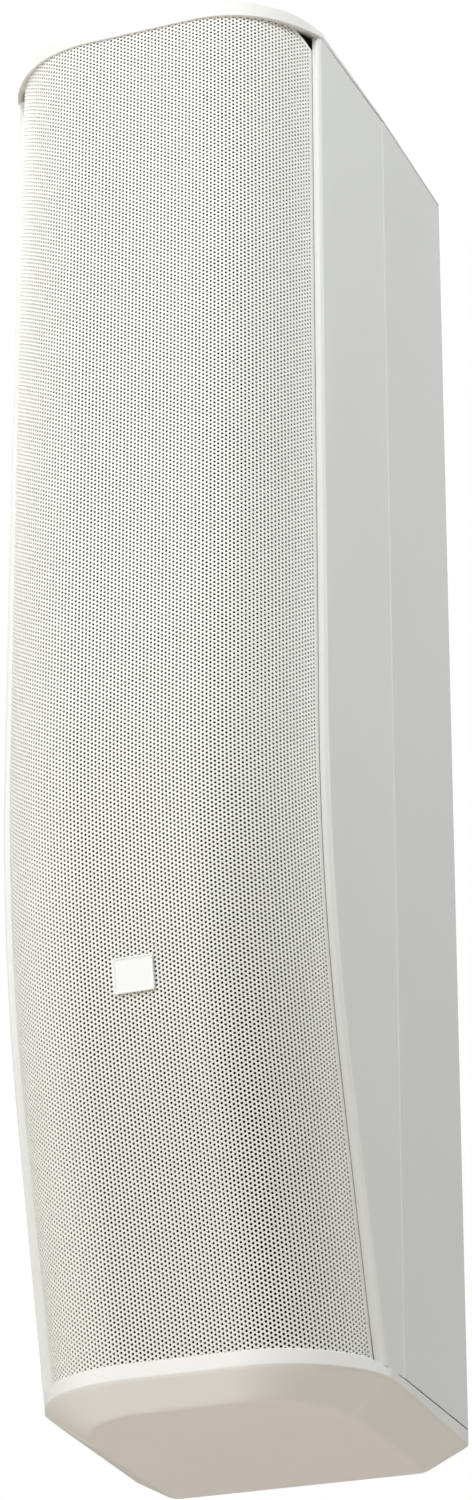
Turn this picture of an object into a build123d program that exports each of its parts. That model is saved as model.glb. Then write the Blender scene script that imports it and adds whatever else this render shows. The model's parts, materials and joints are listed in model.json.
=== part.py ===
from build123d import *
import os
from math import atan2, cos, degrees, hypot, pi, radians, sin

# Column loudspeaker with a J-shaped front. Millimetres, +Z up, the grille faces -Y, and the
# origin is under the middle of the box on the surface that it stands on.

# Cabinet
HEIGHT = 1002.0
FRONT_Y = -154.0
REAR_Y = 154.0
REAR_HALF = 121.8
CREASE_HALF = 122.3
CREASE_Y = 24.0
CREASE_STEP = 0.5
CHEEK_HALF = 118.2
CHEEK_Y = -105.0
WALL = 8.0
REAR_CORNER_R = 2.5
CHEEK_R = 3.2
BOTTOM_SEAM = 27.0
TOP_SEAM = 990.0
GASKET_T = 1.0
SHELL_BOTTOM = BOTTOM_SEAM + GASKET_T
SHELL_TOP = TOP_SEAM - GASKET_T
SHELL_MID = (SHELL_BOTTOM + SHELL_TOP) / 2

# Caps: an upright rim, then slopes that run in by these amounts at the side, front and rear
TOP_RIM_H = 2.5
TOP_SLOPES = (24.0, 2.0, 2.0)
BOTTOM_RIM_Z = 18.5
BOTTOM_SLOPES = (30.0, 9.0, 4.0)
BOTTOM_HOLLOW = (36.0, 24.0, 20.0)
BOTTOM_FLOOR = 8.0

# Front curve: vertical down to BEND_TOP, then an arc, then straight to the bottom
BEND_TOP = 450.0
BEND_R = 900.0
BEND_ANGLE = 17.0
CAP_LIP = 1.5
GRILLE_Y = FRONT_Y + CAP_LIP

# Grille cross-section: a flat middle and a round shoulder on each side
FLAT_HALF = 40.0
GRILLE_HALF = 112.3
SHOULDER_DEPTH = 54.0
SHOULDER_R = ((GRILLE_HALF - FLAT_HALF) ** 2 + SHOULDER_DEPTH ** 2) / (2 * SHOULDER_DEPTH)
GRILLE_T = 1.2
FOAM_GAP = 0.3
FOAM_T = 3.5
CORNER_CUT_X = 7.5
CORNER_CUT_Z = 11.0
BADGE_W = 28.5
BADGE_H = 24.0
BADGE_T = 1.6
BADGE_R = 1.6
BADGE_X = -4.5
BADGE_Z = 262.6

# Depths below the grille surface of the things behind it
REBATE_DEPTH = 62.0
BAFFLE_T = 12.0
BAFFLE_HALF = 106.6
LEDGE_T = 10.0
LEDGE_HALF = 96.0
LIP_HALF = 112.6

# Driver modules, numbered from the top
MODULES = 6
MODULE_PITCH = 160.0
TOP_MARGIN = 6.6
WOOFER_TRAVEL = 4.5
FLANGE_R = 79.0
FLANGE_T = 4.0
FLANGE_FLAT = 71.0
BASKET_R = 68.0
BAFFLE_HOLE_R = 70.0
CONE_R = 57.5
COIL_R = 16.0
MAGNET_R = 45.0
MOTOR_TOP = -50.0
WOOFER_SCREW_PCD = 149.0

# Tweeter strip
TWEETERS = 4
TWEETER_PITCH = 40.0
STRIP_HALF = 23.0
STRIP_TOP = 46.0
STRIP_T = 8.0
STRIP_FOOT_T = 6.0
TWEETER_HOLE_R = 16.0
DOME_R = 12.5

# Rear panel and its switches
PANEL_Z = 150.0
PANEL_W = 128.0
PANEL_H = 108.0
PANEL_T = 2.5
PANEL_SET_BACK = 2.2
PANEL_PAD_T = 4.0
PANEL_Y = REAR_Y - PANEL_SET_BACK
CUP_W = 100.0
CUP_H = 80.0
CUP_DEPTH = 26.0
CUP_WALL = 2.5
CUP_FLOOR_Y = PANEL_Y - CUP_DEPTH + CUP_WALL
KNOB_X = -24.0
SLIDER_X = 24.0
SWITCH_Z = PANEL_Z - 18.0
TERMINAL_Z = PANEL_Z + 20.0
TERMINALS = 4
TERMINAL_PITCH = 15.0
TERMINAL_X = [TERMINAL_PITCH * (n - (TERMINALS - 1) / 2) for n in range(TERMINALS)]
TERMINAL_BASE_T = 8.0
KNOB_R = 9.0
KNOB_H = 12.0
SHAFT_R = 3.0
SHAFT_CLEARANCE = 0.05
SLIDER_TRAVEL = 4.0

# Threaded inserts in the back for a wall bracket
INSERT_SPACING_X = 70.0
INSERT_SPACING_Z = 100.0
INSERT_CENTRES = (850.0, 330.0)
INSERT_R = 4.3
INSERT_BORE_R = 2.5
INSERT_L = 14.0
BOSS_R = 9.0

# Braces, lining and network board
BRACE_HEIGHTS = {"upper_brace": 822.4, "lower_brace": 502.4}
BRACE_T = 12.0
LINING_T = 15.0
LINING_ZONES = ((250.0, 480.0), (700.0, 806.0), (838.0, 960.0))
BOARD_Z = 610.0
BOARD_W = 140.0
BOARD_H = 160.0
BOARD_Y = 118.0
SKIRT_H = 22.0
SKIRT_T = 5.0
CAP_SCREWS_X = (-80.0, 0.0, 80.0)
GAP = 0.2


def station(s):
    """Y, Z and tilt in degrees of the grille's middle line at the length s below its top."""
    straight = SHELL_TOP - BEND_TOP
    bend = BEND_R * radians(BEND_ANGLE)
    if s <= straight:
        return GRILLE_Y, SHELL_TOP - s, 0.0
    turn = min(s - straight, bend) / BEND_R
    below = max(s - straight - bend, 0.0)
    y = GRILLE_Y + BEND_R * (1 - cos(turn)) + below * sin(turn)
    z = BEND_TOP - BEND_R * sin(turn) - below * cos(turn)
    return y, z, degrees(turn)


def module_station(i):
    return station(TOP_MARGIN + MODULE_PITCH * (i + 0.5))


def module_plane(i, depth=REBATE_DEPTH):
    """Plane of module i at a depth below the grille; its Z axis points out of the front."""
    y, z, tilt = module_station(i)
    out = Vector(0, -cos(radians(tilt)), -sin(radians(tilt)))
    return Plane(origin=Vector(0, y, z) - out * depth, x_dir=(1, 0, 0), z_dir=out)


def meet(p, tilt_p, q, tilt_q):
    """Point where the face lines through p and q meet, or the point midway if they are parallel."""
    a, b = radians(tilt_p), radians(tilt_q)
    cross = sin(a) * -cos(b) + cos(a) * sin(b)
    if abs(cross) < 1e-6:
        return (p[0] + q[0]) / 2, (p[1] + q[1]) / 2
    t = ((q[0] - p[0]) * -cos(b) - (q[1] - p[1]) * sin(b)) / cross
    return p[0] + t * sin(a), p[1] - t * cos(a)


def facet_line(depth, top=SHELL_TOP, bottom=SHELL_BOTTOM):
    """Corners of the six-sided face line at a depth below the grille, from the top down."""
    places = []
    for i in range(MODULES):
        origin = module_plane(i, depth).origin
        places.append(((origin.Y, origin.Z), module_station(i)[2]))
    corners = [(places[0][0][0], top)]
    for (p, tilt_p), (q, tilt_q) in zip(places, places[1:]):
        corners.append(meet(p, tilt_p, q, tilt_q))
    (y, z), tilt = places[-1]
    corners.append((y + (z - bottom) * sin(radians(tilt)) / cos(radians(tilt)), bottom))
    return corners


def side_extrude(face, x0, x1):
    """Push a face drawn in Y and Z from x0 to x1."""
    return extrude(Plane.YZ.offset(x0) * face, amount=x1 - x0)


def facet_band(front, back, x0, x1, **ends):
    """Bent plate between two depths below the grille, following the six module faces."""
    outline = facet_line(front, **ends) + facet_line(back, **ends)[::-1]
    return side_extrude(make_face(Polyline(*outline, close=True)), x0, x1)


def curve_front(depth, x0, x1):
    """Everything in front of the smooth front curve at a depth below the grille."""
    r = BEND_R - depth
    y0 = GRILLE_Y + depth
    centre_y = GRILLE_Y + BEND_R
    half, full = radians(BEND_ANGLE / 2), radians(BEND_ANGLE)
    arc_mid = (centre_y - r * cos(half), BEND_TOP - r * sin(half))
    arc_end = (centre_y - r * cos(full), BEND_TOP - r * sin(full))
    run = (arc_end[1] + 60.0) / cos(full)
    foot = (arc_end[0] + run * sin(full), arc_end[1] - run * cos(full))
    far = FRONT_Y - 60.0
    top = HEIGHT + 20.0
    line = Line((y0, top), (y0, BEND_TOP))
    line += ThreePointArc((y0, BEND_TOP), arc_mid, arc_end)
    line += Polyline(arc_end, foot, (far, foot[1]), (far, top), (y0, top))
    return side_extrude(make_face(line), x0, x1)


def side_x(y, inset=0.0):
    """Half-width of the cabinet at y, less an inset."""
    if y >= CREASE_Y:
        part = (y - CREASE_Y) / (REAR_Y - CREASE_Y)
        return CREASE_HALF + (REAR_HALF - CREASE_HALF) * part - inset
    part = (CREASE_Y - y) / (CREASE_Y - CHEEK_Y)
    return CREASE_HALF + (CHEEK_HALF - CREASE_HALF) * part - inset


def cabinet_prism(inset, z0, z1):
    """Straight-sided cabinet plan, running on past the front, between two heights."""
    ahead = FRONT_Y - 20.0
    right = [
        (side_x(ahead, inset), ahead),
        (side_x(CREASE_Y, inset + CREASE_STEP), CREASE_Y - CREASE_STEP),
        (side_x(CREASE_Y, inset), CREASE_Y),
        (side_x(REAR_Y, inset), REAR_Y - inset),
    ]
    left = [(-x, y) for x, y in reversed(right)]
    return extrude(Plane.XY.offset(z0) * make_face(Polyline(*right, *left, close=True)), amount=z1 - z0)


def shoulder_arc(flat, front, edge_x, edge_y):
    """Middle point of the arc that leaves the flat front smoothly and ends at the edge."""
    run, drop = edge_x - flat, edge_y - front
    r = (run ** 2 + drop ** 2) / (2 * drop)
    half = atan2(run, r - drop) / 2
    return flat + r * sin(half), front + r * (1 - cos(half))


def cap_face(z, front, side_inset=0.0, front_inset=0.0, rear_inset=0.0):
    """Outline of a cap at a height; the same corners at every height, so outlines can be lofted."""
    edge_y = front + SHOULDER_DEPTH + CAP_LIP + front_inset
    cheek_y = edge_y + 6.0
    rear = REAR_Y - rear_inset
    rear_x = side_x(rear, side_inset)
    flat = FLAT_HALF - side_inset / 3
    edge_x = GRILLE_HALF + CAP_LIP - side_inset
    mid = shoulder_arc(flat, front + front_inset, edge_x, edge_y)
    r = REAR_CORNER_R
    bow = r * (1 - cos(pi / 4))
    start_y = front + front_inset
    cheek_x = side_x(cheek_y, side_inset)
    crease_x = side_x(CREASE_Y, side_inset)
    line = Line((-flat, start_y), (flat, start_y))
    for s in (1, -1):
        line += ThreePointArc((s * flat, start_y), (s * mid[0], mid[1]), (s * edge_x, edge_y))
        side = [(edge_x, edge_y), (cheek_x, cheek_y), (crease_x, CREASE_Y), (rear_x, rear - r)]
        corner = [(rear_x, rear - r), (rear_x - bow, rear - bow), (rear_x - r, rear)]
        line += Polyline(*[(s * x, y) for x, y in side])
        line += ThreePointArc(*[(s * x, y) for x, y in corner])
    line += Line((rear_x - r, rear), (r - rear_x, rear))
    return Plane.XY.offset(z) * make_face(line)


def grille_section(outer, inner):
    """Curved strip of the grille's cross-section between two depths, in its own X and depth."""
    reach = atan2(GRILLE_HALF - FLAT_HALF, SHOULDER_R - SHOULDER_DEPTH)

    def at(depth, angle, side):
        r = SHOULDER_R - depth
        return side * (FLAT_HALF + r * sin(angle)), SHOULDER_R - r * cos(angle)

    line = Line((-FLAT_HALF, outer), (FLAT_HALF, outer)) + Line((-FLAT_HALF, inner), (FLAT_HALF, inner))
    for s in (1, -1):
        for depth in (outer, inner):
            points = [at(depth, reach * part, s) for part in (0, 0.5, 1)]
            line += ThreePointArc(*points)
        line += Line(at(outer, reach, s), at(inner, reach, s))
    return make_face(line)


def grille_band(outer, inner):
    """The cross-section carried down the straight, the bend and the lower straight."""
    face = grille_section(outer, inner)
    top_plane = Plane(origin=(0, GRILLE_Y, BEND_TOP), x_dir=(1, 0, 0), z_dir=(0, 0, 1))
    upper = extrude(top_plane * face, amount=SHELL_TOP - BEND_TOP)
    axis = Axis((0, GRILLE_Y + BEND_R, BEND_TOP), (1, 0, 0))
    bend = revolve(top_plane * face, axis=axis, revolution_arc=BEND_ANGLE)
    y, z, tilt = station(SHELL_TOP - BEND_TOP + BEND_R * radians(BEND_ANGLE))
    down = Vector(0, sin(radians(tilt)), -cos(radians(tilt)))
    low_plane = Plane(origin=(0, y, z), x_dir=(1, 0, 0), z_dir=-down)
    lower = extrude(low_plane * face, amount=-(z - BOTTOM_SEAM) / cos(radians(tilt)) - 40.0)
    band = upper + bend + lower
    return band & Pos(0, 0, SHELL_MID) * Box(400, 800, SHELL_TOP - SHELL_BOTTOM)


def ring(outer_r, inner_r, z0, z1):
    tube = Cylinder(outer_r, z1 - z0, align=(Align.CENTER, Align.CENTER, Align.MIN))
    bore = Cylinder(inner_r, z1 - z0, align=(Align.CENTER, Align.CENTER, Align.MIN))
    return Pos(0, 0, z0) * (tube - bore)


def disc(r, z0, z1):
    return Pos(0, 0, z0) * Cylinder(r, z1 - z0, align=(Align.CENTER, Align.CENTER, Align.MIN))


def turned(*points):
    """Solid of revolution about Z from (radius, height) corners."""
    return revolve(Plane.XZ * make_face(Polyline(*points, close=True)), axis=Axis.Z)


def block(x, y, z, w, d, h):
    return Pos(x, y, z) * Box(w, d, h)


def pan_screw(shank_r, length, head_r, head_h):
    """Screw with its head above Z = 0 and its shank below, and a cross-shaped drive."""
    screw = disc(head_r, 0, head_h) + disc(shank_r, -length, 0)
    for spin in (0, 90):
        screw -= Rot(0, 0, spin) * block(0, 0, head_h, head_r * 1.1, head_r * 0.25, head_h)
    return screw


def rear_frame(x, z, y=REAR_Y):
    """Plane on the back at x and z, facing out."""
    return Plane(origin=(x, y, z), x_dir=(-1, 0, 0), z_dir=(0, 1, 0))


def insert_places():
    places = []
    for z in INSERT_CENTRES:
        for x in (-0.5, 0.5):
            for h in (-0.5, 0.5):
                places.append(rear_frame(x * INSERT_SPACING_X, z + h * INSERT_SPACING_Z))
    return places


def cap_screw_places():
    heights = (SHELL_BOTTOM + SKIRT_H / 2, SHELL_TOP - SKIRT_H / 2)
    return [rear_frame(x, z, REAR_Y - 2.5) for z in heights for x in CAP_SCREWS_X]


def panel_screw_places():
    return [rear_frame(x, PANEL_Z + h, PANEL_Y) for x in (-59.0, 59.0) for h in (-49.0, 49.0)]


def baffle_screw_places():
    places = []
    for i in range(MODULES):
        for x in (-101.0, 101.0):
            for t in (-50.0, 50.0):
                places.append(module_plane(i) * Pos(x, t, 0))
    return places


def woofer_screw_places():
    corner = WOOFER_SCREW_PCD / 2 * sin(pi / 4)
    places = []
    for i in range(MODULES):
        for x in (-corner, corner):
            for t in (-corner, corner):
                places.append(module_plane(i) * Pos(x, t, FLANGE_T))
    return places


def cabinet_block():
    """Outside of the shell as a full block, with round rear corners and round cheek edges."""
    cabinet = cabinet_prism(0, SHELL_BOTTOM, SHELL_TOP)
    cabinet = fillet(cabinet.edges().filter_by(Axis.Z).group_by(Axis.Y)[-1], REAR_CORNER_R)
    cabinet -= curve_front(SHOULDER_DEPTH, -CREASE_HALF - 5.0, CREASE_HALF + 5.0)
    cheeks = [e for e in cabinet.edges() if e.center().Y < CREASE_Y - 5.0 and e.bounding_box().size.Z > 10.0]
    return fillet(cheeks, CHEEK_R)


def cabinet_shell():
    outer = cabinet_block()
    shell = outer - cabinet_prism(WALL, SHELL_BOTTOM, SHELL_TOP)
    for place in insert_places():
        shell += place * disc(BOSS_R, -INSERT_L - 2.0, -WALL / 2)
    for s in (1, -1):
        x0, x1 = sorted((s * LEDGE_HALF, s * (CREASE_HALF + 5.0)))
        shell += facet_band(REBATE_DEPTH + BAFFLE_T, REBATE_DEPTH + BAFFLE_T + LEDGE_T, x0, x1) & outer
    shell -= curve_front(REBATE_DEPTH, -LIP_HALF, LIP_HALF)
    for place in insert_places():
        shell -= place * disc(INSERT_R, -INSERT_L, 1)
    for place in cap_screw_places():
        shell -= place * (disc(2.1, -10, 0) + disc(4.2, 0, 5))
    for place in baffle_screw_places():
        shell -= place * disc(2.1, -BAFFLE_T - 8.0, 0)
    pad_y = REAR_Y - WALL - PANEL_PAD_T / 2
    shell += block(0, pad_y, PANEL_Z, PANEL_W + 14.0, PANEL_PAD_T, PANEL_H + 14.0)
    rebate = 2 * (PANEL_SET_BACK + PANEL_T + GASKET_T)
    shell -= block(0, REAR_Y, PANEL_Z, PANEL_W + 1, rebate, PANEL_H + 1)
    shell -= block(0, REAR_Y, PANEL_Z, CUP_W + 2 * GAP, 60, CUP_H + 2 * GAP)
    for place in panel_screw_places():
        shell -= place * disc(1.6, -10.6, 0)
    return shell


def cap_skirt(z0, z1, front):
    """Tongue inside the shell that the cap screws bite into; it starts behind the baffle."""
    skirt = cabinet_prism(WALL + GAP, z0, z1) - cabinet_prism(WALL + GAP + SKIRT_T, z0, z1)
    start = front + REBATE_DEPTH + BAFFLE_T + LEDGE_T + 20.0
    room = block(0, start + 200.0, (z0 + z1) / 2, 400, 400, z1 - z0)
    return skirt & room


def bottom_front():
    """Y of the bottom cap's front edge."""
    return facet_line(0, bottom=BOTTOM_SEAM)[-1][0] - CAP_LIP


def top_cap():
    rim = cap_face(TOP_SEAM + TOP_RIM_H, FRONT_Y)
    body = extrude(cap_face(TOP_SEAM, FRONT_Y), amount=TOP_RIM_H)
    body += loft([rim, cap_face(HEIGHT, FRONT_Y, *TOP_SLOPES)], ruled=True)
    body += cap_skirt(SHELL_TOP - SKIRT_H, TOP_SEAM, FRONT_Y)
    for place in cap_screw_places():
        body -= place * disc(1.6, -10.5, 0)
    return body


def bottom_cap():
    front = bottom_front()
    rim = cap_face(BOTTOM_RIM_Z, front)
    body = extrude(rim, amount=BOTTOM_SEAM - BOTTOM_RIM_Z)
    body += loft([cap_face(0, front, *BOTTOM_SLOPES), rim], ruled=True)
    body -= extrude(cap_face(BOTTOM_FLOOR, front, *BOTTOM_HOLLOW), amount=BOTTOM_SEAM)
    body += cap_skirt(BOTTOM_SEAM, SHELL_BOTTOM + SKIRT_H, front)
    for place in cap_screw_places():
        body -= place * disc(1.6, -10.5, 0)
    return body


def cap_gasket(z, front):
    """Foam ring on the end of the walls, set back a little so that the seam reads as a line."""
    band = cabinet_prism(0.8, z, z + GASKET_T) - cabinet_prism(WALL - GAP, z, z + GASKET_T)
    start = front + SHOULDER_DEPTH + 6.0
    return band & block(0, start + 200.0, z + GASKET_T / 2, 400, 400, GASKET_T)


def cap_screws():
    screws = [place * pan_screw(1.5, 9.5, 3.8, 2.2) for place in cap_screw_places()]
    return Compound(children=screws)


def baffle():
    ends = {"top": SHELL_TOP - GAP, "bottom": SHELL_BOTTOM + GAP}
    plate = facet_band(REBATE_DEPTH, REBATE_DEPTH + BAFFLE_T, -BAFFLE_HALF, BAFFLE_HALF, **ends)
    for i in range(MODULES):
        plate -= module_plane(i) * disc(BAFFLE_HOLE_R, -BAFFLE_T * 2, 1)
    for place in baffle_screw_places():
        plate -= place * disc(2.1, -BAFFLE_T * 2, 1)
    for place in woofer_screw_places():
        plate -= place * disc(1.9, -10.1 - FLANGE_T, 0)
    return plate


def baffle_screws():
    screws = [place * pan_screw(2.0, BAFFLE_T + 7.5, 4.0, 2.6) for place in baffle_screw_places()]
    return Compound(children=screws)


def front_grille():
    sheet = grille_band(0, GRILLE_T)
    cut_x, cut_z = GRILLE_HALF - CORNER_CUT_X, SHELL_TOP - CORNER_CUT_Z
    for s in (1, -1):
        corner = [(s * cut_x, SHELL_TOP), (s * (GRILLE_HALF + 1), SHELL_TOP), (s * (GRILLE_HALF + 1), cut_z)]
        wedge = extrude(Plane.XZ * make_face(Polyline(*corner, close=True)), amount=200, both=True)
        sheet -= wedge
    return sheet


def grille_foam():
    return grille_band(GRILLE_T + FOAM_GAP, GRILLE_T + FOAM_GAP + FOAM_T)


def badge_plate():
    turn = degrees(atan2(BEND_TOP - BADGE_Z, hypot(BEND_R, BEND_TOP - BADGE_Z)))
    y, z, tilt = station(SHELL_TOP - BEND_TOP + BEND_R * radians(turn))
    out = Vector(0, -cos(radians(tilt)), -sin(radians(tilt)))
    plane = Plane(origin=Vector(0, y, z) + out * GAP, x_dir=(1, 0, 0), z_dir=out)
    return plane * Pos(BADGE_X, 0, 0) * extrude(RectangleRounded(BADGE_W, BADGE_H, BADGE_R), amount=BADGE_T)


def brace(z):
    """Shelf between the baffle and the back with two windows for the air and the wires."""
    plate = cabinet_prism(WALL + GAP, z - BRACE_T / 2, z + BRACE_T / 2)
    start = FRONT_Y + REBATE_DEPTH + BAFFLE_T + LEDGE_T + 4.0
    plate &= block(0, start + 200.0, z, 400, 400, BRACE_T)
    window = fillet(block(0, 0, z, 84.0, 150.0, 3 * BRACE_T).edges().filter_by(Axis.Z), 15.0)
    for s in (1, -1):
        plate -= Pos(s * 48.0, 40.0, 0) * window
    return plate


def damping_wadding():
    pads = []
    inner_y = REAR_Y - WALL
    for z0, z1 in LINING_ZONES:
        pad = block(0, inner_y - GAP - LINING_T / 2, (z0 + z1) / 2, 196.0, LINING_T, z1 - z0)
        for place in insert_places():
            pad -= place * disc(BOSS_R + 1.0, -WALL - LINING_T - 2.0, 0)
        pads.append(pad)
    return Compound(children=pads)


def network_board():
    board = block(0, BOARD_Y, BOARD_Z, BOARD_W, 1.6, BOARD_H)
    post_l = REAR_Y - WALL - BOARD_Y - 0.8
    for x in (-0.5, 0.5):
        for h in (-0.5, 0.5):
            foot = rear_frame(x * (BOARD_W - 16.0), BOARD_Z + h * (BOARD_H - 16.0), BOARD_Y + 0.8)
            board += foot * disc(4.0, 0, post_l)
    return board


def network_parts():
    """Coils, capacitors and resistors of the passive shading network, standing on the board."""
    front = Plane(origin=(0, BOARD_Y - 0.8, BOARD_Z), x_dir=(1, 0, 0), z_dir=(0, -1, 0))
    parts = []
    for x in (-45.0, 0.0, 45.0):
        parts.append(front * Pos(x, 55.0, 0) * ring(17.0, 6.0, 0, 16.0))
        parts.append(front * Pos(x, -55.0, 0) * ring(14.0, 5.0, 0, 12.0))
    for x in (-50.0, -25.0, 0.0, 25.0, 50.0):
        parts.append(front * Pos(x, 14.0, 0) * disc(8.0, 0, 28.0))
        parts.append(front * Pos(x, -20.0, 5.0) * Box(10.0, 38.0, 10.0))
    return Compound(children=parts)


def wire(points, r):
    """Round wire along straight runs with round corners."""
    solid = None
    for a, b in zip(points, points[1:]):
        run = Vector(*b) - Vector(*a)
        rod = Plane(origin=a, z_dir=run) * disc(r, 0, run.length)
        solid = rod if solid is None else solid + rod
    for corner in points[1:-1]:
        solid += Pos(*corner) * Sphere(r)
    return solid


def wiring_harness():
    """Trunk beside the board, a lead to each woofer and a pair to the terminals."""
    trunk_x, trunk_y = 82.0, 96.0
    top_z = module_plane(0).origin.Z
    solid = wire([(trunk_x, trunk_y, PANEL_Z + 90.0), (trunk_x, trunk_y, top_z)], 3.5)
    for i in range(MODULES):
        back = (module_plane(i) * Pos(28.0, 0, MOTOR_TOP - 28.0)).position
        rise = max(back.Z, PANEL_Z + 92.0)
        solid += wire([(trunk_x, trunk_y, rise), (back.X, trunk_y, rise), (back.X, back.Y, back.Z)], 1.5)
    terminal = (30.0, PANEL_Y - CUP_DEPTH - 2.0, TERMINAL_Z)
    solid += wire([(trunk_x, trunk_y, PANEL_Z + 92.0), (30.0, trunk_y, TERMINAL_Z + 10.0), terminal], 1.5)
    solid += wire([(trunk_x, trunk_y, BOARD_Z), (BOARD_W / 2 + 4.0, BOARD_Y, BOARD_Z)], 1.5)
    return solid


def input_panel():
    flange = block(0, PANEL_Y - PANEL_T / 2, PANEL_Z, PANEL_W, PANEL_T, PANEL_H)
    flange = fillet(flange.edges().filter_by(Axis.Y), 4.0)
    cup = block(0, PANEL_Y - CUP_DEPTH / 2, PANEL_Z, CUP_W, CUP_DEPTH, CUP_H)
    hollow = block(0, CUP_FLOOR_Y + CUP_DEPTH / 2, PANEL_Z, CUP_W - 5, CUP_DEPTH, CUP_H - 5)
    panel = flange + cup - fillet(hollow.edges().filter_by(Axis.Y), 3.0)
    panel -= rear_frame(KNOB_X, SWITCH_Z, CUP_FLOOR_Y) * disc(SHAFT_R + SHAFT_CLEARANCE, -5, 1)
    panel -= block(SLIDER_X + SLIDER_TRAVEL / 2, CUP_FLOOR_Y, SWITCH_Z, 10.4, 10, 3.6)
    for place in panel_screw_places():
        panel -= place * disc(2.0, -PANEL_T - 1, 1)
    return panel


def input_panel_gasket():
    y = PANEL_Y - PANEL_T - GASKET_T / 2
    band = block(0, y, PANEL_Z, PANEL_W - 1, GASKET_T, PANEL_H - 1)
    band -= block(0, y, PANEL_Z, CUP_W + 2, 3, CUP_H + 2)
    for place in panel_screw_places():
        band -= place * disc(2.0, -6, 1)
    return band


def panel_screws():
    return Compound(children=[place * pan_screw(1.5, 10.5, 3.2, 2.0) for place in panel_screw_places()])


def terminal_block():
    """Barrier strip: a base and a fin on each side of every terminal."""
    width, height, fin_d = TERMINALS * TERMINAL_PITCH + 4.0, 22.0, 13.0
    strip = block(0, CUP_FLOOR_Y + TERMINAL_BASE_T / 2, TERMINAL_Z, width, TERMINAL_BASE_T, height)
    for n in range(TERMINALS + 1):
        fin_x = TERMINAL_PITCH * (n - TERMINALS / 2)
        strip += block(fin_x, CUP_FLOOR_Y + fin_d / 2, TERMINAL_Z, 1.6, fin_d, height)
    for x in TERMINAL_X:
        strip -= rear_frame(x, TERMINAL_Z, CUP_FLOOR_Y + TERMINAL_BASE_T) * disc(2.1, -6.2, 1)
    return strip


def terminal_screws():
    screws = []
    for x in TERMINAL_X:
        place = rear_frame(x, TERMINAL_Z, CUP_FLOOR_Y + TERMINAL_BASE_T)
        screws.append(place * pan_screw(2.0, 6.0, 4.2, 2.6))
    return Compound(children=screws)


def coverage_knob():
    """Pointer knob and its shaft."""
    knob = disc(KNOB_R, 0.5, KNOB_H) - disc(KNOB_R - 2.0, KNOB_H - 1.0, KNOB_H + 1)
    knob += block(0, 0, KNOB_H - 0.5, 3.0, 2 * KNOB_R - 1.0, 3.0)
    for n in range(12):
        knob -= Rot(0, 0, 30.0 * n) * Pos(KNOB_R + 0.6, 0, 0) * disc(1.4, 2.5, KNOB_H + 2)
    knob += disc(SHAFT_R, -9.0, 0.5)
    return rear_frame(KNOB_X, SWITCH_Z, CUP_FLOOR_Y) * knob


def coverage_switch_body():
    body = disc(11.0, -CUP_WALL - 12.0, -CUP_WALL) - disc(SHAFT_R + SHAFT_CLEARANCE, -9.5, 1)
    for n in range(4):
        tag = Rot(0, 0, 60.0 + 20.0 * n) * Pos(8.0, 0, 0)
        body += tag * block(0, 0, -CUP_WALL - 14.5, 1.0, 2.5, 5.0)
    return rear_frame(KNOB_X, SWITCH_Z, CUP_FLOOR_Y) * body


def voicing_slider():
    stem = block(SLIDER_X, CUP_FLOOR_Y, SWITCH_Z, 5.6, 8.0, 3.0)
    cap = block(SLIDER_X, CUP_FLOOR_Y + 4.0, SWITCH_Z, 7.0, 6.0, 6.0)
    for n in range(3):
        cap -= block(SLIDER_X - 2.0 + 2.0 * n, CUP_FLOOR_Y + 7.0, SWITCH_Z, 0.7, 1.2, 7.0)
    return stem + cap


def voicing_switch_body():
    y = CUP_FLOOR_Y - CUP_WALL
    body = block(SLIDER_X + SLIDER_TRAVEL / 2, y - 4.0, SWITCH_Z, 24.0, 8.0, 11.0)
    body -= block(SLIDER_X + SLIDER_TRAVEL / 2, y, SWITCH_Z, 10.4, 5.0, 3.6)
    for n in range(3):
        body += block(SLIDER_X - 4.0 + 6.0 * n, y - 10.0, SWITCH_Z, 1.0, 4.0, 2.5)
    return body


def threaded_inserts():
    inserts = []
    for place in insert_places():
        inserts.append(place * ring(INSERT_R - 0.05, INSERT_BORE_R, -INSERT_L, 0))
    return Compound(children=inserts)


def woofer_frame():
    """Cast basket with a flange cut flat at top and bottom, windows, and a spider ledge."""
    wall = turned(
        (FLANGE_R, 0), (FLANGE_R, FLANGE_T), (70.2, FLANGE_T), (70.2, 1.5), (64.5, 1.5),
        (64.5, -1.0), (41.5, -30.0), (38.0, -30.0), (38.0, -33.5), (34.0, -33.5), (34.0, -47.0),
        (18.0, -47.0), (18.0, -50.0), (44.0, -50.0), (44.0, -33.0), (44.5, -30.0), (BASKET_R, 0),
    )
    for n in range(6):
        wall -= Rot(0, 0, 60.0 * n + 30.0) * block(52.0, 0, -17.0, 44.0, 34.0, 17.0)
    wall &= block(0, 0, -20.0, 2 * FLANGE_R, 2 * FLANGE_FLAT, 80.0)
    for x in (-1, 1):
        for t in (-1, 1):
            corner = WOOFER_SCREW_PCD / 2 * sin(pi / 4)
            wall -= Pos(x * corner, t * corner, 0) * disc(2.2, -1, FLANGE_T + 1)
    return wall


def woofer_motor():
    """Front plate, ring magnet, and a back plate with its pole, as three solids."""
    plate = ring(42.0, COIL_R + 1.2, MOTOR_TOP - 6.0, MOTOR_TOP)
    magnet = ring(MAGNET_R, 24.0, MOTOR_TOP - 20.0, MOTOR_TOP - 6.0)
    yoke = disc(42.0, MOTOR_TOP - 26.0, MOTOR_TOP - 20.0) + disc(COIL_R - 0.8, MOTOR_TOP - 20.0, MOTOR_TOP)
    return Compound(children=[plate, magnet, yoke])


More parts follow.
